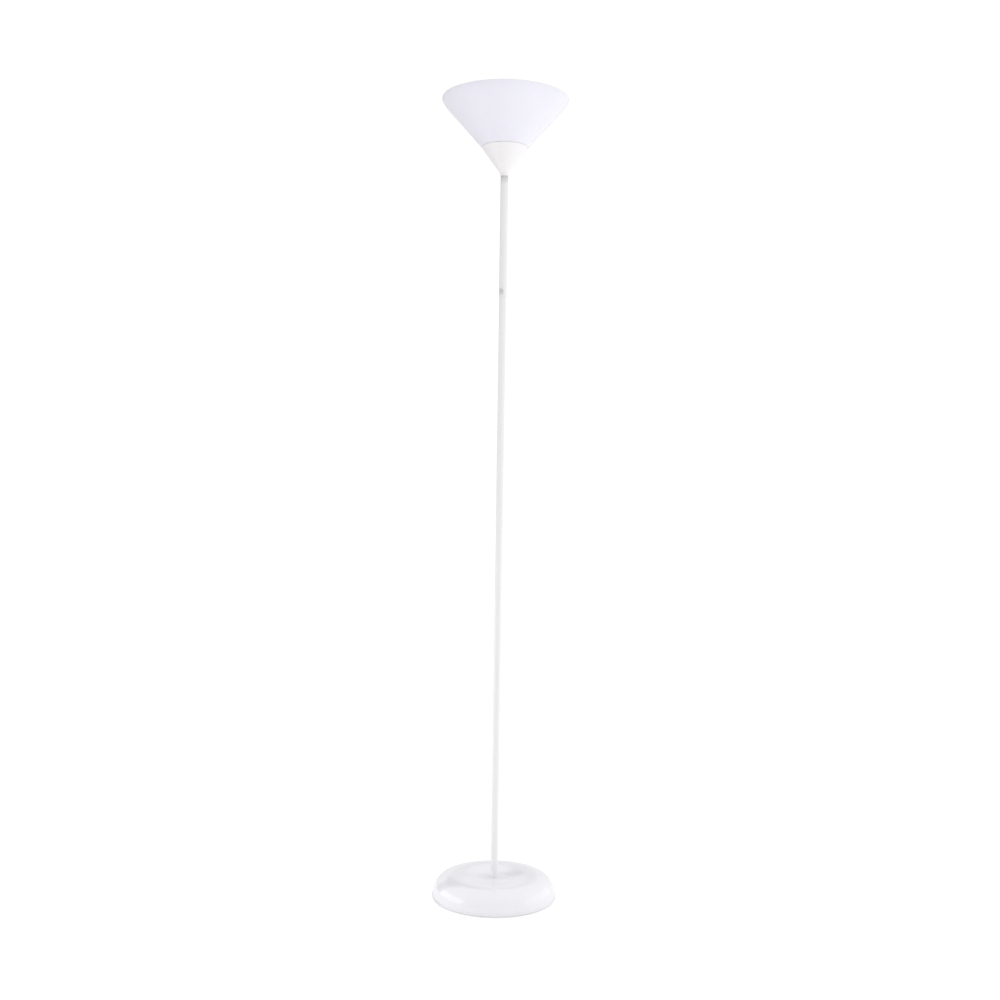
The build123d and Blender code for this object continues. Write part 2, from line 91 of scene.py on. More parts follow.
def make_world():
    """White studio that the lamp sees: brighter above and to the right, with dark gaps behind it."""
    world = bpy.data.worlds.new("studio")
    bpy.context.scene.world = world
    world.use_nodes = True
    nodes, links = world.node_tree.nodes, world.node_tree.links
    nodes.clear()
    where = nodes.new("ShaderNodeTexCoord").outputs["Generated"]
    split = nodes.new("ShaderNodeSeparateXYZ")
    links.new(where, split.inputs[0])

    def ramped(value, start, stop, low, high):
        """Eases from one number to another as a value passes from start to stop."""
        node = nodes.new("ShaderNodeMapRange")
        node.interpolation_type = "SMOOTHSTEP"
        node.inputs["From Min"].default_value = start
        node.inputs["From Max"].default_value = stop
        node.inputs["To Min"].default_value = low
        node.inputs["To Max"].default_value = high
        links.new(value, node.inputs["Value"])
        return node.outputs["Result"]

    def times(first, second):
        """Product of two numbers."""
        node = nodes.new("ShaderNodeMath")
        node.operation = "MULTIPLY"
        links.new(first, node.inputs[0])
        links.new(second, node.inputs[1])
        return node.outputs[0]

    def patch(azimuth, elevation, inner, outer, gain):
        """Round patch of the room that scales the light by a gain, in full within the inner angle.

        Angles are in degrees; azimuth 0 is behind the lamp and 90 is on its right.
        """
        turn, lift = math.radians(azimuth), math.radians(elevation)
        axis = (math.sin(turn) * math.cos(lift), math.cos(turn) * math.cos(lift), math.sin(lift))
        node = nodes.new("ShaderNodeVectorMath")
        node.operation = "DOT_PRODUCT"
        node.inputs[1].default_value = axis
        links.new(where, node.inputs[0])
        near, far = math.cos(math.radians(inner)), math.cos(math.radians(outer))
        return ramped(node.outputs["Value"], far, near, 1.0, gain)

    light = times(
        ramped(split.outputs["X"], -1.0, 0.9, 0.82, 1.02),
        ramped(split.outputs["Z"], 0.0, 1.0, 0.89, 1.13),
    )
    for azimuth, elevation, inner, outer, gain in (
        (-49, 15, 10, 16, 0.05),
        (-36, 29, 7, 12, 0.05),
        (-24, 32, 5, 9, 0.05),
        (-14, 29, 4, 7, 0.15),
        (-6, 24, 3, 6, 0.35),
        (0, 20, 1, 5, 0.75),
    ):
        light = times(light, patch(azimuth, elevation, inner, outer, gain))
    room = nodes.new("ShaderNodeBackground")
    links.new(light, room.inputs["Strength"])
    backdrop = nodes.new("ShaderNodeBackground")
    backdrop.inputs["Strength"].default_value = 1.05
    for background in (room, backdrop):
        background.inputs["Color"].default_value = (1.0, 1.0, 1.0, 1.0)
    path = nodes.new("ShaderNodeLightPath")
    mix = nodes.new("ShaderNodeMixShader")
    out = nodes.new("ShaderNodeOutputWorld")
    links.new(path.outputs["Is Camera Ray"], mix.inputs["Fac"])
    links.new(room.outputs[0], mix.inputs[1])
    links.new(backdrop.outputs[0], mix.inputs[2])
    links.new(mix.outputs[0], out.inputs["Surface"])


def area_light(name, place, target, size, power):
    """Rectangular lamp of the studio, turned towards a point."""
    data = bpy.data.lights.new(name, "AREA")
    data.shape = "RECTANGLE"
    data.size, data.size_y = size
    data.energy = power
    light = bpy.data.objects.new(name, data)
    light.location = place
    light.rotation_euler = (Vector(target) - Vector(place)).to_track_quat("-Z", "Y").to_euler()
    bpy.context.scene.collection.objects.link(light)


def make_floor():
    """Plain pale floor, far larger than the view, that glows enough to run into the backdrop."""
    mesh = bpy.data.meshes.new("floor")
    side = 20.0
    corners = [(-side, -side, 0), (side, -side, 0), (side, side, 0), (-side, side, 0)]
    mesh.from_pydata(corners, [], [(0, 1, 2, 3)])
    floor = bpy.data.objects.new("floor", mesh)
    bpy.context.scene.collection.objects.link(floor)
    paper = bpy.data.materials.new("floor_paper")
    paper.use_nodes = True
    shader = paper.node_tree.nodes["Principled BSDF"]
    shader.inputs["Base Color"].default_value = (0.5, 0.5, 0.5, 1.0)
    shader.inputs["Roughness"].default_value = 0.9
    shader.inputs["Specular IOR Level"].default_value = 0.1
    shader.inputs["Emission Color"].default_value = (1.0, 1.0, 1.0, 1.0)
    left_glow, right_glow, seen_glow, reach = 0.28, 0.68, 0.62, 1.6
    across = levels(paper, axis_of(paper, "X"), left_glow, right_glow, -reach, reach)
    glow = paper.node_tree.nodes.new("ShaderNodeMapRange")
    glow.inputs["To Max"].default_value = seen_glow
    path = paper.node_tree.nodes.new("ShaderNodeLightPath")
    paper.node_tree.links.new(across, glow.inputs["To Min"])
    paper.node_tree.links.new(path.outputs["Is Camera Ray"], glow.inputs["Value"])
    paper.node_tree.links.new(glow.outputs["Result"], shader.inputs["Emission Strength"])
    floor.data.materials.append(paper)


# ---- outlines, as (radius, height) in millimetres -----------------------------------------------
def rounded(*corners):
    """Closed outline whose corners are rounded where they carry a third number, the radius."""
    steps = 5
    outline = []
    for i, corner in enumerate(corners):
        here = Vector(corner[:2])
        if len(corner) == 2:
            outline.append(here)
            continue
        back = Vector(corners[i - 1][:2]) - here
        ahead = Vector(corners[(i + 1) % len(corners)][:2]) - here
        half = back.angle(ahead) / 2
        reach = min(corner[2] / math.tan(half), 0.49 * back.length, 0.49 * ahead.length)
        centre = here + (back.normalized() + ahead.normalized()).normalized() * reach / math.cos(half)
        first = here + back.normalized() * reach - centre
        last = here + ahead.normalized() * reach - centre
        start = math.atan2(first.y, first.x)
        sweep = (math.atan2(last.y, last.x) - start + math.pi) % TURN - math.pi
        for k in range(steps + 1):
            angle = start + sweep * k / steps
            outline.append(centre + Vector((math.cos(angle), math.sin(angle))) * first.length)
    return outline


def bezier(a, b, c, d, steps):
    """Points along a cubic curve."""
    a, b, c, d = (Vector(p) for p in (a, b, c, d))
    points = []
    for k in range(steps + 1):
        t = k / steps
        u = 1 - t
        points.append(a * u ** 3 + b * 3 * u * u * t + c * 3 * u * t * t + d * t ** 3)
    return points


def arc(centre, radius, start, stop, steps):
    """Points along an arc, with angles in degrees."""
    points = []
    for k in range(steps + 1):
        angle = math.radians(start + (stop - start) * k / steps)
        points.append(Vector(centre) + Vector((math.cos(angle), math.sin(angle))) * radius)
    return points


def rungs(radius, start, stop, gap):
    """Points close together along a straight stretch that will carry a thread or ribs."""
    count = max(2, round(abs(stop - start) / gap))
    return [Vector((radius, start + (stop - start) * k / count)) for k in range(count + 1)]


def helix(low, high, depth, pitch, inside):
    """Thread for lathe(): the surface's offset, zero or less, at an angle, a radius and a height."""
    def cut(angle, radius, height):
        if radius < inside or not low <= height <= high:
            return 0.0
        fade = min(1.0, (height - low) / pitch, (high - height) / pitch)
        return -depth * fade * (0.5 - 0.5 * math.cos(TURN * height / pitch - angle))
    return cut


def ribs(low, high, height_of_rib, count, inside):
    """Upright ribs for lathe(), with rounded crests and faded ends."""
    run_out = 1.5

    def raised(angle, radius, height):
        if radius < inside or not low <= height <= high:
            return 0.0
        fade = min(1.0, (height - low) / run_out, (high - height) / run_out)
        return height_of_rib * fade * max(0.0, math.cos(count * angle)) ** 0.7
    return raised


# ---- meshes -------------------------------------------------------------------------------------
def skin(mesh, rings, closed, caps=True):
    """Faces between rings of vertices; a ring of one vertex is a pole, and open ends may get caps."""
    pairs = list(zip(rings, rings[1:]))
    if closed:
        pairs.append((rings[-1], rings[0]))
    for a, b in pairs:
        count = max(len(a), len(b))
        for i in range(count):
            j = (i + 1) % count
            corners = [a[i % len(a)], a[j % len(a)], b[j % len(b)], b[i % len(b)]]
            mesh.faces.new(list(dict.fromkeys(corners)))
    if caps and not closed:
        for ring in (rings[0], rings[-1]):
            if len(ring) > 2:
                mesh.faces.new(ring)


def add_ring(mesh, radius, height, steps, carve=None, place=None):
    """Ring of vertices about Z, or a single one on the axis; carve() shifts it in or out."""
    place = place or Matrix.Identity(4)
    if radius < 1e-6:
        return [mesh.verts.new(place @ Vector((0, 0, height * MM)))]
    ring = []
    for i in range(steps):
        angle = TURN * i / steps
        out = radius + (carve(angle, radius, height) if carve else 0.0)
        spot = Vector((out * math.cos(angle), out * math.sin(angle), height)) * MM
        ring.append(mesh.verts.new(place @ spot))
    return ring


def lathe(outline, steps=COARSE, carve=None, place=None, mesh=None):
    """Solid of revolution about Z. An outline that starts on the axis also ends on it."""
    mesh = mesh or bmesh.new()
    rings = [add_ring(mesh, radius, height, steps, carve, place) for radius, height in outline]
    skin(mesh, rings, closed=len(rings[0]) > 1)
    return mesh


def rod(radius, low, high, steps=COARSE, place=None):
    """Plain cylinder about Z."""
    return lathe([(0, low), (radius, low), (radius, high), (0, high)], steps, place=place)


def plate_ring(half_width, half_height, corner, level):
    """Rounded rectangle in the XY plane at a height, as a ring of points in millimetres."""
    steps = 6
    points = []
    for quarter, (sx, sy) in enumerate(((1, 1), (-1, 1), (-1, -1), (1, -1))):
        centre = (sx * (half_width - corner), sy * (half_height - corner))
        for spot in arc(centre, corner, 90 * quarter, 90 * quarter + 90, steps):
            points.append(Vector((spot.x, spot.y, level)))
    return points


def loft(sections, place, mesh):
    """Adds a solid through rounded rectangles, each (half width, half height, corner, level)."""
    rings = []
    for section in sections:
        rings.append([mesh.verts.new(place @ (spot * MM)) for spot in plate_ring(*section)])
    skin(mesh, rings, closed=False)


def finish_mesh(name, mesh):
    """Object from a bmesh: outward faces, smooth shading, and edges above an angle kept sharp."""
    sharp = math.radians(38.0)
    bmesh.ops.recalc_face_normals(mesh, faces=mesh.faces)
    for face in mesh.faces:
        face.smooth = True
    for edge in mesh.edges:
        edge.smooth = len(edge.link_faces) == 2 and edge.calc_face_angle() < sharp
    data = bpy.data.meshes.new(name)
    mesh.to_mesh(data)
    mesh.free()
    thing = bpy.data.objects.new(name, data)
    bpy.context.scene.collection.objects.link(thing)
    return thing


def drill(thing, *cutters):
    """Cuts closed meshes out of a piece and applies the result."""
    for cutter in cutters:
        tool = finish_mesh("cutter", cutter)
        cut = thing.modifiers.new("cut", "BOOLEAN")
        cut.operation = "DIFFERENCE"
        cut.solver = "EXACT"
        cut.object = tool
        graph = bpy.context.evaluated_depsgraph_get()
        result = bpy.data.meshes.new_from_object(thing.evaluated_get(graph))
        thing.modifiers.clear()
        thing.data = result
        bpy.data.objects.remove(tool)


def show(thing, node, paint):
    """Puts a piece in place of a CAD node: same body, its own material."""
    body = frame["nodes"][node]["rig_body"]
    thing.data.materials.clear()
    thing.data.materials.append(paint)
    normals = thing.modifiers.new("normals", "WEIGHTED_NORMAL")
    normals.keep_sharp = True
    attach(thing, body)
    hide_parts(node)


def span(node):
    """Lowest height, highest height and outer radius of a round CAD node, in millimetres."""
    low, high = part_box(node)
    return low.z / MM, high.z / MM, (high.x - low.x) / 2 / MM


# ---- materials ----------------------------------------------------------------------------------
def new_paint(name, color, roughness, **sockets):
    """Principled material with its constants on the shader's own sockets."""
    paint = bpy.data.materials.new(name)
    paint.use_nodes = True
    shader = paint.node_tree.nodes["Principled BSDF"]
    shader.inputs["Base Color"].default_value = (*color, 1.0)
    shader.inputs["Roughness"].default_value = roughness
    for socket, value in sockets.items():
        shader.inputs[socket.replace("_", " ")].default_value = value
    return paint


def place_of(paint, stretch=(1.0, 1.0, 1.0)):
    """The piece's own coordinates in metres, stretched along the axes."""
    nodes, links = paint.node_tree.nodes, paint.node_tree.links
    where = nodes.new("ShaderNodeTexCoord")
    scaled = nodes.new("ShaderNodeMapping")
    scaled.inputs["Scale"].default_value = stretch
    links.new(where.outputs["Object"], scaled.inputs["Vector"])
    return scaled.outputs["Vector"]


def axis_of(paint, axis):
    """One of the piece's own coordinates, in metres."""
    split = paint.node_tree.nodes.new("ShaderNodeSeparateXYZ")
    paint.node_tree.links.new(place_of(paint), split.inputs["Vector"])
    return split.outputs[axis]


def noise(paint, scale, detail, stretch=(1.0, 1.0, 1.0), roughness=0.55, distortion=0.0):
    """Cloudy noise, as a value about 0.5, with about as many clouds to the metre as the scale."""
    node = paint.node_tree.nodes.new("ShaderNodeTexNoise")
    node.inputs["Scale"].default_value = scale
    node.inputs["Detail"].default_value = detail
    node.inputs["Roughness"].default_value = roughness
    node.inputs["Distortion"].default_value = distortion
    paint.node_tree.links.new(place_of(paint, stretch), node.inputs["Vector"])
    return node.outputs["Fac"]


def cells(paint, scale):
    """Distance from the nearest of many scattered points; one unit is a metre over the scale."""
    node = paint.node_tree.nodes.new("ShaderNodeTexVoronoi")
    node.inputs["Scale"].default_value = scale
    paint.node_tree.links.new(place_of(paint), node.inputs["Vector"])
    return node.outputs["Distance"]


def levels(paint, value, low, high, start=0.0, stop=1.0):
    """Maps a value from one range to another, and holds it there."""
    node = paint.node_tree.nodes.new("ShaderNodeMapRange")
    node.inputs["From Min"].default_value = start
    node.inputs["From Max"].default_value = stop
    node.inputs["To Min"].default_value = low
    node.inputs["To Max"].default_value = high
    paint.node_tree.links.new(value, node.inputs["Value"])
    return node.outputs["Result"]


def product(paint, first, second):
    """Product of two values."""
    node = paint.node_tree.nodes.new("ShaderNodeMath")
    node.operation = "MULTIPLY"
    paint.node_tree.links.new(first, node.inputs[0])
    paint.node_tree.links.new(second, node.inputs[1])
    return node.outputs["Value"]


def shader_of(paint):
    """The one shader of a material."""
    return paint.node_tree.nodes["Principled BSDF"]


def tint(paint, value, *stops):
    """Colours the surface by a value; a stop is (position, colour)."""
    ramp = paint.node_tree.nodes.new("ShaderNodeValToRGB")
    band = ramp.color_ramp
    while len(band.elements) < len(stops):
        band.elements.new(0.5)
    for element, (position, color) in zip(band.elements, stops):
        element.position = position
        element.color = (*color, 1.0)
    paint.node_tree.links.new(value, ramp.inputs["Fac"])
    paint.node_tree.links.new(ramp.outputs["Color"], shader_of(paint).inputs["Base Color"])


def shine(paint, value, low, high):
    """Varies the roughness by a value about 0.5."""
    start, stop = 0.3, 0.7
    rough = levels(paint, value, low, high, start, stop)
    paint.node_tree.links.new(rough, shader_of(paint).inputs["Roughness"])


def relief(paint, value, height, strength=1.0):
    """Adds a bump of a given height in metres on top of any bump the material has."""
    nodes, links = paint.node_tree.nodes, paint.node_tree.links
    bump = nodes.new("ShaderNodeBump")
    bump.inputs["Strength"].default_value = strength
    bump.inputs["Distance"].default_value = height
    links.new(value, bump.inputs["Height"])
    normal = shader_of(paint).inputs["Normal"]
    if normal.links:
        links.new(normal.links[0].from_socket, bump.inputs["Normal"])
    links.new(bump.outputs["Normal"], normal)


def shift_color(color, amount):
    """The colour made lighter or darker by a fraction."""
    return tuple(max(0.0, min(1.0, channel * (1 + amount))) for channel in color)


def moulded(name, color, roughness, grain, mottle, **sockets):
    """Moulded plastic: faint flow mottle, uneven polish, and a fine skin on slow waves."""
    paint = new_paint(name, color, roughness, **sockets)
    flow = noise(paint, 14.0, 4.0, distortion=0.6)
    tint(paint, flow, (0.3, shift_color(color, -mottle)), (0.7, shift_color(color, mottle)))
    shine(paint, noise(paint, 55.0, 4.0), roughness * 0.82, roughness * 1.22)
    relief(paint, noise(paint, 1500.0, 2.0), grain)
    relief(paint, noise(paint, 160.0, 1.0), grain * 2.2, 0.35)
    return paint


def enamel(name, color, roughness):
    """Sprayed enamel on tube: long orange peel, dust under the paint, and painted shade at the top end
    under the cup.
    """
    # heights, in metres, over which the painted shade under the cup fades in
    unshaded_z, fully_shaded_z = 1.603, 1.626
    paint = new_paint(name, color, roughness, Coat_Weight=0.12, Coat_Roughness=0.15)
    drift = noise(paint, 9.0, 3.0, stretch=(1, 1, 0.35))
    # painted shade: the paint turns up to 30% darker towards the top end of the pole, where the cup
    # would shade it
    painted_shade = levels(paint, axis_of(paint, "Z"), 1.0, 0.12, unshaded_z, fully_shaded_z)
    tint(
        paint, product(paint, drift, painted_shade), (0.0, shift_color(color, -0.30)),
        (0.35, shift_color(color, -0.012)), (0.7, shift_color(color, 0.010)),
    )
    shine(paint, noise(paint, 70.0, 3.0), roughness * 0.85, roughness * 1.25)
    relief(paint, noise(paint, 420.0, 1.5, stretch=(1, 1, 0.7)), 0.00002, 0.55)
    specks = levels(paint, cells(paint, 170.0), 1.0, 0.0, 0.0, 0.10)
    relief(paint, specks, 0.000008, 0.3)
    return paint


def worn_metal(name, color, roughness, dark):
    """Plated or bare metal: fine pitting, drawn hair scratches, cloudy polish and dull patches."""
    paint = new_paint(name, color, roughness, Metallic=1.0)
    tarnished = tuple(a + (b - a) * 0.5 for a, b in zip(color, dark))
    cloud = noise(paint, 160.0, 5.0, distortion=0.4)
    tint(paint, cloud, (0.30, tarnished), (0.52, color), (0.75, shift_color(color, 0.05)))
    shine(paint, noise(paint, 420.0, 4.0), roughness * 0.7, roughness * 1.5)
    relief(paint, noise(paint, 260.0, 2.0, stretch=(6.0, 6.0, 6.0)), 0.000012, 0.5)
    relief(paint, noise(paint, 800.0, 3.0, stretch=(1.0, 4.0, 0.3)), 0.000010, 0.5)
    return paint


def cast(name, color):
    """Cast cement: sandy grain, pits from trapped air and darker damp patches."""
    paint = new_paint(name, color, 0.92, Specular_IOR_Level=0.2)
    patches = noise(paint, 26.0, 6.0, distortion=0.8)
    tint(
        paint, patches, (0.30, shift_color(color, -0.28)), (0.5, color),
        (0.72, shift_color(color, 0.22)),
    )
    shine(paint, noise(paint, 300.0, 3.0), 0.82, 0.98)
    relief(paint, noise(paint, 900.0, 5.0, roughness=0.7), 0.0003, 0.7)
    pits = levels(paint, cells(paint, 210.0), 0.0, 1.0, 0.0, 0.28)
    relief(paint, pits, 0.0007, 0.8)
    return paint


def foam(name, color, scale=1500.0, depth=0.0002):
    """Closed-cell foam or rubber: small pores on a softly dusty surface."""
    paint = new_paint(name, color, 0.85, Specular_IOR_Level=0.25, Sheen_Weight=0.15)
    dust = noise(paint, 70.0, 5.0)
    tint(paint, dust, (0.3, shift_color(color, -0.10)), (0.7, shift_color(color, 0.10)))
    shine(paint, noise(paint, 200.0, 3.0), 0.75, 0.95)
    relief(paint, levels(paint, cells(paint, scale), 0.0, 1.0, 0.0, 0.5), depth, 0.7)
    return paint


def make_paints():
    """Every material of the lamp, by the name of its slot in the record."""
    lilac_white = (0.850, 0.844, 0.880)
    shade_white = (0.832, 0.825, 0.908)
    silver, dull = (0.70, 0.71, 0.73), (0.42, 0.43, 0.45)
    return {
        "base_plastic": moulded("base_plastic", lilac_white, 0.10, 0.000003, 0.006,
                                Coat_Weight=0.3, Coat_Roughness=0.04),
        "cast_weight": cast("cast_weight", (0.44, 0.43, 0.41)),
        "plate_plastic": moulded("plate_plastic", (0.70, 0.70, 0.71), 0.48, 0.00004, 0.03),
        "foot_pad": foam("foot_pad", (0.52, 0.52, 0.53)),
        "gland_rubber": foam("gland_rubber", (0.78, 0.78, 0.79), 3200.0, 0.00005),
        "zinc_steel": worn_metal("zinc_steel", silver, 0.34, dull),
        # enamel() also paints shade onto the top end of the pole, under the cup
        "pole_paint": enamel("pole_paint", (0.845, 0.845, 0.847), 0.36),
        "switch_case": moulded("switch_case", (0.035, 0.035, 0.037), 0.42, 0.00003, 0.12),
        "nickel": worn_metal("nickel", (0.74, 0.72, 0.68), 0.20, (0.50, 0.47, 0.42)),
        "switch_white": moulded("switch_white", (0.80, 0.80, 0.80), 0.34, 0.00002, 0.02),
        "knob_grey": moulded("knob_grey", (0.57, 0.57, 0.58), 0.40, 0.00003, 0.04),
        "cup_plastic": moulded("cup_plastic", (0.905, 0.888, 0.900), 0.30, 0.000004, 0.005),
        "shade_plastic": moulded(
            "shade_plastic", shade_white, 0.36, 0.000006, 0.006,
            Subsurface_Weight=0.45, Subsurface_Radius=(0.9, 0.8, 1.0), Subsurface_Scale=0.004,
        ),
        "holder_phenolic": moulded("holder_phenolic", (0.80, 0.79, 0.76), 0.38, 0.00003, 0.03),
        "brass": worn_metal("brass", (0.80, 0.61, 0.30), 0.28, (0.42, 0.28, 0.13)),
        "bulb_plastic": moulded("bulb_plastic", (0.86, 0.86, 0.86), 0.32, 0.00001, 0.01),
        "bulb_diffuser": moulded(
            "bulb_diffuser", (0.90, 0.90, 0.885), 0.30, 0.000002, 0.003,
            Subsurface_Weight=0.6, Subsurface_Radius=(1.0, 1.0, 0.9), Subsurface_Scale=0.006,
        ),
        "bulb_metal": worn_metal("bulb_metal", (0.78, 0.79, 0.81), 0.26, (0.55, 0.55, 0.57)),
        "bulb_black": moulded("bulb_black", (0.02, 0.02, 0.022), 0.10, 0.00001, 0.2),
        "lead_sheath": moulded("lead_sheath", (0.80, 0.80, 0.80), 0.42, 0.00003, 0.02),
        "core_black": moulded("core_black", (0.02, 0.02, 0.02), 0.40, 0.00003, 0.2),
        "core_white": moulded("core_white", (0.78, 0.78, 0.76), 0.40, 0.00003, 0.02),
    }


def dress_cad(paints):
    """Gives every CAD node the material of its slot, for those that no piece replaces."""
    for part in frame["record"]["subparts"]:
        for holder in frame["nodes"][part["node"]].material_slots:
            holder.material = paints[part["material_slot"]]


# ---- base ---------------------------------------------------------------------------------------
def along_back(height):
    """Turns a mesh made about Z so that its axis lies along +Y at a height in millimetres."""
    return Matrix.Translation((0, 0, height * MM)) @ Matrix.Rotation(-math.pi / 2, 4, "X")


def around(radius, degrees):
    """Place on a circle about Z, in millimetres, for what repeats round the base."""
    return Matrix.Rotation(math.radians(degrees), 4, "Z") @ Matrix.Translation((radius * MM, 0, 0))


def bun_outline(foot_r, foot_z, crest_r, crest_z, dish_r, dish_z):
    """From the foot over the crest and down to the flat middle of the dish."""
    rise, reach, fall, ease = 27.0, 34.0, 30.0, 25.0
    foot, crest, middle = (foot_r, foot_z), (crest_r, crest_z), (dish_r, dish_z)
    bun = bezier(foot, (foot_r, foot_z + rise), (crest_r + reach, crest_z), crest, 34)
    dish = bezier(crest, (crest_r - fall, crest_z), (dish_r + ease, dish_z), middle, 26)
    return bun + dish[1:]


def make_base(paints):
    """Glossy cover with its skirt, closing plate, foam feet and the cord's bush."""
    low, crest_z, base_r = span("base_cover")
    dish_z = span("pole_tube_1")[0]
    crest_r, dish_r, wall, hole_r = 92.0, 20.0, 2.5, 5.2
    bun_r, bun_low, skirt_high, lip = base_r - 2.5, low + 3.0, low + 1.7, 0.75
    outside = bun_outline(bun_r, bun_low, crest_r, crest_z, dish_r, dish_z)
    inside = bun_outline(bun_r - wall, bun_low, crest_r, crest_z - wall, dish_r, dish_z - wall)
    skirt = arc((base_r - lip, low + lip), lip, -90, 0, 5)
    skirt += arc((base_r - lip, skirt_high - lip), lip, 0, 80, 5)
    flare = bezier(
        skirt[-1], (bun_r + 0.8, skirt_high + 0.05), (bun_r, skirt_high + 0.5), (bun_r, bun_low), 8,
    )
    outline = [Vector((bun_r - wall, low))] + skirt + flare[1:] + outside[1:]
    outline += [Vector((hole_r, dish_z)), Vector((hole_r, dish_z - wall))] + inside[::-1]
    cover = finish_mesh("lamp_base_cover", lathe(outline, FINE))

    near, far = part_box("cord_gland")
    outer_y, inner_y = far.y / MM, near.y / MM
    turned = along_back((near.z + far.z) / 2 / MM)
    wide_r, narrow_r, ledge_y = 5.7, 4.1, outer_y - 5.9
    wide = rod(wide_r, ledge_y, outer_y + 8, place=turned)
    narrow = rod(narrow_r, outer_y - 16, outer_y, place=turned)
    drill(cover, wide, narrow)
    show(cover, "base_cover", paints["base_plastic"])

    bore_r, waist_r = 3.1, 4.0
    bush = rounded(
        (bore_r, inner_y, 0.3), (5.0, inner_y, 0.4), (5.0, inner_y + 2.4), (waist_r, inner_y + 2.4),
        (waist_r, inner_y + 5.3), (5.5, inner_y + 5.3, 0.3), (5.5, inner_y + 9.0, 1.2),
        (4.3, outer_y, 0.5), (bore_r, outer_y, 0.8),
    )
    cord_bush = finish_mesh("cord_bush", lathe(bush, place=turned))
    show(cord_bush, "cord_gland", paints["gland_rubber"])

    make_plate(paints)
    make_feet(paints)


def make_plate(paints):
    """Closing plate with ring grooves below, and recesses for its three screws."""
    low, high, plate_r = span("base_plate")
    top, groove, rim_out, rim_in = 4.2, 0.5, 134.2, 132.2
    rings = []
    for radius in (30.0, 62.0, 94.0):
        for out, rise in ((-3, 0.0), (-2.2, groove), (2.2, groove), (3, 0.0)):
            rings.append((radius + out, low + rise, 0.3))
    outline = rounded(
        (0, low), *rings, (plate_r, low, 0.5), (plate_r, top, 0.35), (rim_out, top),
        (rim_out, high, 0.3), (rim_in, high, 0.3), (rim_in, top), (0, top),
    )
    plate = finish_mesh("closing_plate", lathe(outline, FINE))
    screws_r, head_r, shank_r, seat_z = 122, 3.7, 1.95, 3.2
    recess = [
        (0, low - 2), (head_r, low - 2), (head_r, seat_z), (shank_r, seat_z), (shank_r, top + 3),
        (0, top + 3),
    ]
    drill(plate, *(lathe(recess, SMALL, place=around(screws_r, 30 + 120 * k)) for k in range(3)))
    show(plate, "base_plate", paints["plate_plastic"])


def make_feet(paints):
    """Six stick-on pads on one ring."""
    high = span("base_feet")[1]
    feet_r, pad_r = 116, 9.0
    mesh = bmesh.new()
    pad = rounded((0, 0), (pad_r, 0, 0.5), (pad_r - 0.2, high, 0.15), (0, high))
    for k in range(6):
        lathe(pad, SMALL, place=around(feet_r, 60 * k), mesh=mesh)
    show(finish_mesh("foot_pads", mesh), "base_feet", paints["foot_pad"])


# ---- pole ---------------------------------------------------------------------------------------
TUBE_WALL = 0.8
STUD_BORE = 3.5
STUD_PITCH = 1.0            # of an M10 fine thread, as on the nipple
STUD_DEPTH = 0.55


def make_tube(name, node):
    """Painted tube with rounded ends."""
    low, high, radius = span(node)
    bore, edge = radius - TUBE_WALL, 0.32
    outline = rounded((bore, low), (radius, low, edge), (radius, high, edge), (bore, high))
    return finish_mesh(name, lathe(outline, MEDIUM))


def make_stud(node, fit_r, joint_z, paints):
    """Hollow stud: a plain plug above the joint and an M10 thread below it."""
    low, high, _ = span(node)
    crest, lead_in = 5.0, 0.6
    outline = [Vector((STUD_BORE, low)), Vector((crest - lead_in, low))]
    outline += rungs(crest, low + lead_in, joint_z - 0.4, STUD_PITCH / 6)
    outline += rounded(
        (crest, joint_z), (fit_r, joint_z, 0.2), (fit_r, high, 0.5), (STUD_BORE, high, 0.4),
    )
    thread = helix(low + 0.4, joint_z - 0.3, STUD_DEPTH, STUD_PITCH, inside=4.5)
    show(finish_mesh(node + "_turned", lathe(outline, SMALL, thread)), node, paints["zinc_steel"])


def make_pole(paints):
    """Four equal tubes with their studs, the wider switch tube and the nipple on top of it."""
    for k in range(1, 5):
        node = f"pole_tube_{k}"
        low, _, radius = span(node)
        show(make_tube(f"pole_section_{k}", node), node, paints["pole_paint"])
        make_stud(f"tube_stud_{k}", radius - TUBE_WALL - 0.02, low, paints)
    tube = make_tube("pole_switch_section", "switch_tube")
    bushing_hole = rod(3.45, 2, 20, SMALL, switch_place())
    drill(tube, bushing_hole)
    show(tube, "switch_tube", paints["pole_paint"])

    low, high, crest = span("head_nipple")
    outline = [Vector((STUD_BORE, low)), Vector((crest - 0.5, low))]
    outline += rungs(crest, low + 0.4, high - 0.4, STUD_PITCH / 6)
    outline += [Vector((crest - 0.5, high)), Vector((STUD_BORE, high))]
    thread = helix(low + 0.3, high - 0.3, STUD_DEPTH, STUD_PITCH, inside=4.6)
    nipple = lathe(outline, SMALL, thread)
    show(finish_mesh("threaded_nipple", nipple), "head_nipple", paints["zinc_steel"])


# ---- turn switch --------------------------------------------------------------------------------
def switch_place():
    """The switch's own frame: Z out through the tube wall, X level and Y up."""
    joint = next(j for j in frame["joints"] if j["name"] == "knob_turn")
    out = Vector(joint["axis"])
    level = Vector((0, 0, 1)).cross(out).normalized()
    turned = Matrix((level, Vector((0, 0, 1)), out)).transposed().to_4x4()
    return Matrix.Translation(joint["pos_m"]) @ turned


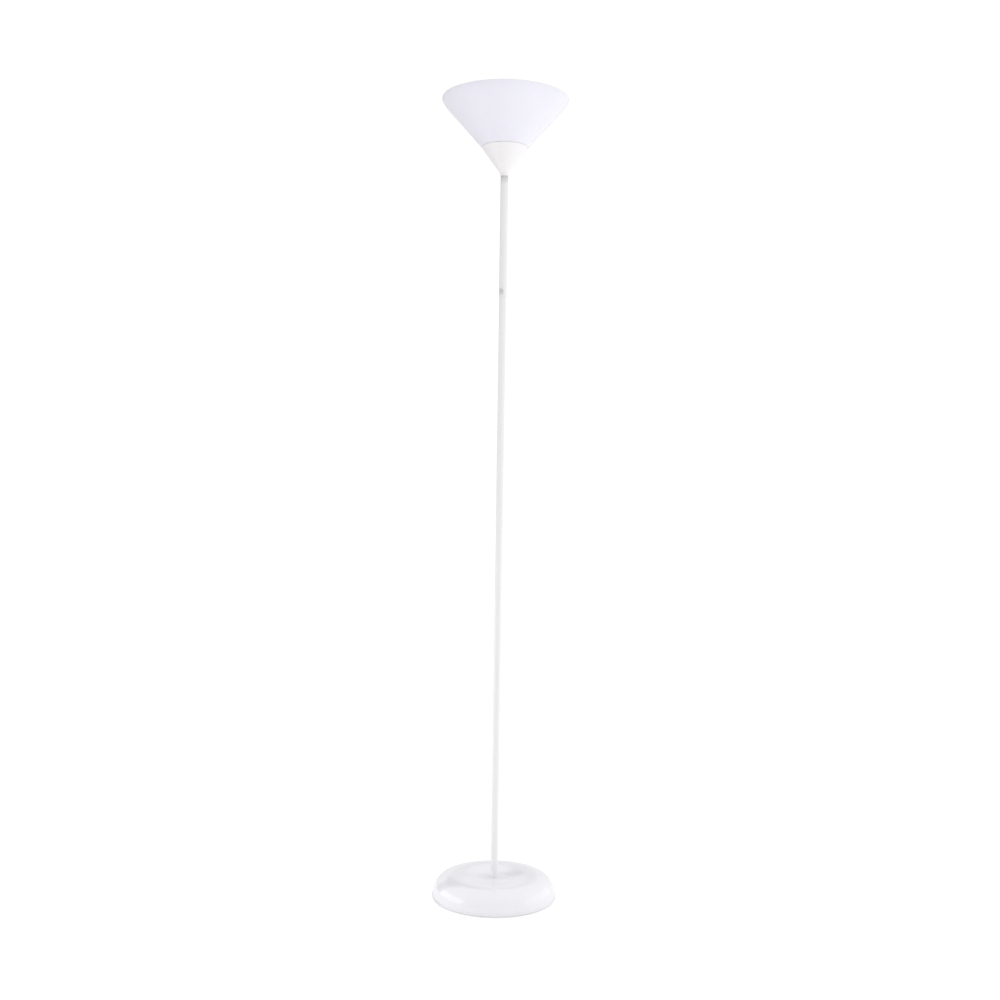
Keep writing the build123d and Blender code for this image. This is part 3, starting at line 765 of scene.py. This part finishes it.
def make_switch(paints):
    """Key with finger ridges, fluted ring nut and threaded bushing, round the CAD's saddle."""
    place = switch_place()
    saddle_out, nut_out, key_low, key_high = 10.1, 12.1, 13.2, 21.8
    mesh = bmesh.new()
    hub = rounded((0, key_low), (4.2, key_low, 0.3), (4.2, key_low + 2.2, 0.7), (0, key_low + 2.4))
    lathe(hub, SMALL, place=place, mesh=mesh)
    key = [
        (2.1, 6.3, 1.5, key_low + 0.1), (2.3, 6.5, 1.6, key_low + 0.4),
        (2.3, 6.5, 1.6, key_low + 1.5), (1.95, 6.5, 1.6, key_low + 4.0),
        (1.8, 6.5, 1.5, key_high - 1.2), (1.62, 6.3, 1.35, key_high - 0.45),
        (1.25, 5.9, 1.1, key_high - 0.1), (0.9, 5.5, 0.8, key_high),
    ]
    loft(key, place, mesh)
    ridge = [
        (1.85, 0.35, 0.2, -2.3), (2.12, 0.42, 0.3, -1.9), (2.12, 0.42, 0.3, 1.6), (1.75, 0.3, 0.2, 2.2),
    ]
    gap, middle = 2.1, key_low + 5.6
    for k in range(5):
        loft(ridge, place @ Matrix.Translation((0, (k - 2) * gap * MM, middle * MM)), mesh)
    show(finish_mesh("switch_key_knob", mesh), "switch_knob", paints["knob_grey"])

    nut_bore, nut_r, flute_count = 3.35, 5.12, 24
    flutes = ribs(saddle_out + 0.15, nut_out - 0.1, 0.28, flute_count, inside=4.0)
    nut = [Vector((nut_bore, saddle_out)), Vector((4.8, saddle_out))]
    nut += rungs(nut_r, saddle_out + 0.25, nut_out - 0.35, 0.3)
    nut += [Vector((4.7, nut_out)), Vector((nut_bore, nut_out))]
    ring_nut = finish_mesh("switch_ring_nut", lathe(nut, 6 * flute_count, flutes, place))
    show(ring_nut, "switch_nut", paints["switch_white"])

    low, high, crest, bore, pitch = 6.0, nut_out + 0.7, 3.3, 1.8, 0.75
    bush = [Vector((bore, low)), Vector((crest, low))]
    bush += rungs(crest, low + 0.4, high - 0.5, pitch / 6)
    bush += [Vector((crest - 0.45, high)), Vector((bore, high))]
    bushing = lathe(bush, SMALL, helix(low + 0.5, high - 0.2, 0.28, pitch, inside=3.0), place)
    show(finish_mesh("switch_bushing_threaded", bushing), "switch_bushing", paints["nickel"])


# ---- cup and shade ------------------------------------------------------------------------------
def make_cup(paints):
    """Opaque cone with its rim turned in."""
    low, high, _ = span("head_cup")
    rim_r, neck_r, cone_low, mouth_r, hole_r = 52.9, 9.8, low + 6.0, 46.8, 5.2
    wall, floor_z, rim_depth = 2.2, low + 8.5, 2.0
    slope = (rim_r - neck_r) / (high - cone_low)
    inset = wall * math.sqrt(1 + slope ** 2)
    outline = rounded(
        (hole_r, low), (neck_r, low, 0.8), (neck_r, cone_low, 3.0), (rim_r, high, 0.55),
        (mouth_r, high, 0.4), (mouth_r, high - rim_depth, 0.2),
        (rim_r - slope * rim_depth - inset, high - rim_depth, 0.6),
        (neck_r - inset + slope * (floor_z - cone_low), floor_z, 1.2), (hole_r, floor_z),
    )
    show(finish_mesh("cone_cup", lathe(outline, FINE)), "head_cup", paints["cup_plastic"])


def make_shade(paints):
    """Translucent cone that turns steeper near its beaded rim, with a collar that drops into the cup."""
    collar_low, rim_z, rim_r = span("shade")
    foot_z = span("head_cup")[1] + 0.3
    foot_r, wall, collar_r, collar_wall, bead = 53.0, 1.8, 46.4, 1.8, 1.35
    foot_slope, foot_reach, rim_slope, rim_reach = 0.87, 75.0, 0.25, 12.0
    level, neck = wall * math.sqrt(1 + foot_slope ** 2), -0.9
    bead_at = Vector((rim_r - bead, rim_z - bead))

    def side(foot, rim):
        return bezier(foot, foot + Vector((foot_slope, 1)) * foot_reach,
                      rim - Vector((rim_slope, 1)) * rim_reach, rim, 44)

    outer = side(Vector((foot_r, foot_z + 0.5)), bead_at + Vector((level / 2, neck)))
    inner_foot = Vector((foot_r + foot_slope * (wall - 0.5) - level, foot_z + wall))
    inner = side(inner_foot, bead_at + Vector((-level / 2, neck)))
    outline = arc((foot_r - 0.5, foot_z + 0.5), 0.5, -90, -40, 3) + outer
    outline += arc(bead_at, bead, -20, 200, 14) + inner[::-1]
    outline += rounded(
        (collar_r - collar_wall, foot_z + wall), (collar_r - collar_wall, collar_low, 0.5),
        (collar_r, collar_low, 0.5), (collar_r, foot_z),
    )
    show(finish_mesh("cone_shade", lathe(outline, FINE)), "shade", paints["shade_plastic"])


# ---- lampholder and bulb ------------------------------------------------------------------------
CAP_PITCH = 3.63            # of an E26 screw cap


def make_holder(paints):
    """Bowl and ribbed sleeve of the holder, and the rolled brass screw shell inside."""
    low, high, radius = span("holder_cap")
    hole_r, inside_r, rib_count = 5.05, radius - 2, 24
    bowl = rounded(
        (hole_r, low), (10.0, low, 0.8), (11.0, low + 1.0), (radius, low + 9.5, 3.0),
        (radius, high, 0.4), (inside_r, high), (inside_r, low + 10.5, 1.5), (9.6, low + 3.0, 1.0),
        (hole_r, low + 3.0),
    )
    show(finish_mesh("holder_bowl", lathe(bowl, MEDIUM)), "holder_cap", paints["holder_phenolic"])

    top = span("holder_shell")[1]
    sleeve = [Vector((inside_r, high)), Vector((radius - 0.3, high)), Vector((radius, high + 0.3))]
    sleeve += rungs(radius, high + 4, top - 6, 0.8)
    sleeve += arc((radius - 1.6, top - 1.6), 1.6, 0, 90, 5) + arc((15.1, top - 0.8), 0.8, 90, 180, 4)
    sleeve += [Vector((14.3, top - 2.0)), Vector((inside_r, top - 2.0))]
    grip = ribs(high + 5, top - 7, 0.75, rib_count, inside=18.0)
    ribbed = finish_mesh("holder_sleeve", lathe(sleeve, 12 * rib_count, grip))
    show(ribbed, "holder_shell", paints["holder_phenolic"])

    low, high, _ = span("screw_shell")
    inside_r, hole_r, wall = 13.85, 9.0, 0.45
    start, stop = low + 3.0, high
    shell = [Vector((hole_r, low)), Vector((13.95, low)), Vector((inside_r + wall, low + 0.6))]
    shell += rungs(inside_r + wall, start, stop, CAP_PITCH / 10)
    shell += rungs(inside_r, stop, start, CAP_PITCH / 10)
    shell += [Vector((inside_r, low + 0.5)), Vector((hole_r, low + 0.5))]

    def rolled(angle, radius, height):
        fade = max(0.0, min(1.0, (height - start) / 2.0, (stop - height) / 2.0))
        return 0.35 * fade * math.cos(TURN * height / CAP_PITCH - angle) if radius > 13.0 else 0.0

    show(finish_mesh("rolled_screw_shell", lathe(shell, MEDIUM, rolled)), "screw_shell", paints["brass"])


def make_bulb(paints):
    """LED bulb: rolled screw cap, black insulator, soldered contact, body and diffusing globe."""
    low, high, crest = span("bulb_cap")
    bore = crest - 1.3
    cap = [Vector((bore, low)), Vector((crest - 0.9, low))]
    cap += rungs(crest - 0.4, low + 0.3, high, CAP_PITCH / 12) + rungs(bore, high, low + 0.4, 4.0)
    cap_end = high - 1.2

    def rolled(angle, radius, height):
        if radius < crest - 0.6:
            return 0.0
        fade = max(0.0, min(1.0, (height - low) / 1.5, (cap_end - height) / 1.5))
        return 0.4 * fade * math.cos(TURN * height / CAP_PITCH - angle)

    show(finish_mesh("bulb_screw_cap", lathe(cap, MEDIUM, rolled)), "bulb_cap", paints["bulb_metal"])

    low, high, radius = span("bulb_insulator")
    cone = rounded((0, low), (5.0, low, 0.6), (radius, high - 1.8, 1.2), (radius, high, 0.3), (0, high))
    show(finish_mesh("bulb_glass_insulator", lathe(cone)), "bulb_insulator", paints["bulb_black"])

    low, high, radius = span("bulb_contact")
    button = [Vector((0, low))] + arc((radius - 1.3, low + 0.9), 0.9, -90, 0, 5)
    button += [Vector((radius, low + 1.1)), Vector((radius, high)), Vector((0, high))]
    show(finish_mesh("bulb_solder_contact", lathe(button, SMALL)), "bulb_contact", paints["bulb_metal"])

    low, high, _ = span("bulb_globe")
    globe_r, wall, steps = 30.0, 1.5, 128
    globe_z = high - globe_r
    dome = bmesh.new()
    shells = []
    for shell_r in (globe_r, globe_r - wall):
        start = math.degrees(math.asin((low - globe_z) / shell_r))
        outline = arc((0, globe_z), shell_r, start, 90, 40)[:-1] + [Vector((0, globe_z + shell_r))]
        rings = [add_ring(dome, radius, height, steps) for radius, height in outline]
        skin(dome, rings, closed=False, caps=False)
        shells.append(rings)
    skin(dome, [shells[0][0], shells[1][0]], closed=False, caps=False)
    show(finish_mesh("bulb_diffuser_globe", dome), "bulb_globe", paints["bulb_diffuser"])

    cap_top = span("bulb_cap")[1]
    foot_r = math.sqrt(globe_r ** 2 - (globe_z - low) ** 2)
    foot_z = low - 0.05
    waist_z, waist_r, wall, plug_r = cap_top + 3.5, 13.3, 1.8, bore - 0.1
    flare, rise, reach, drop = 0.4, 15, 5, 18
    outer = bezier(
        (waist_r, waist_z), (waist_r + flare, waist_z + rise),
        (foot_r - reach, foot_z - drop), (foot_r, foot_z), 26,
    )
    inner = [Vector((p.x - wall, p.y)) for p in reversed(outer)]
    plug_low = cap_top - 17.0
    seat_z = cap_top + 0.1
    body = outer + inner + [Vector((plug_r - wall, seat_z)), Vector((plug_r - wall, plug_low))]
    body += arc((plug_r - 0.4, plug_low + 0.4), 0.4, -90, 0, 3) + [Vector((plug_r, seat_z))]
    body += arc((waist_r - 0.5, seat_z + 0.5), 0.5, -90, 0, 4)
    show(finish_mesh("bulb_flared_body", lathe(body, steps)), "bulb_body", paints["bulb_plastic"])


# ---- everything ---------------------------------------------------------------------------------
make_camera()
make_world()
area_light("low_left", (-1.35, -0.07, 0.36), (0, 0, 0.02), (1.56, 0.7), 4.4)
area_light("low_right", (1.35, 0.1, 0.36), (0, 0, 0.02), (1.9, 0.7), 2.0)
make_floor()
paints = make_paints()
dress_cad(paints)
make_base(paints)
make_pole(paints)
make_switch(paints)
make_cup(paints)
make_shade(paints)
make_holder(paints)
make_bulb(paints)

bpy.context.scene.view_settings.view_transform = "Standard"
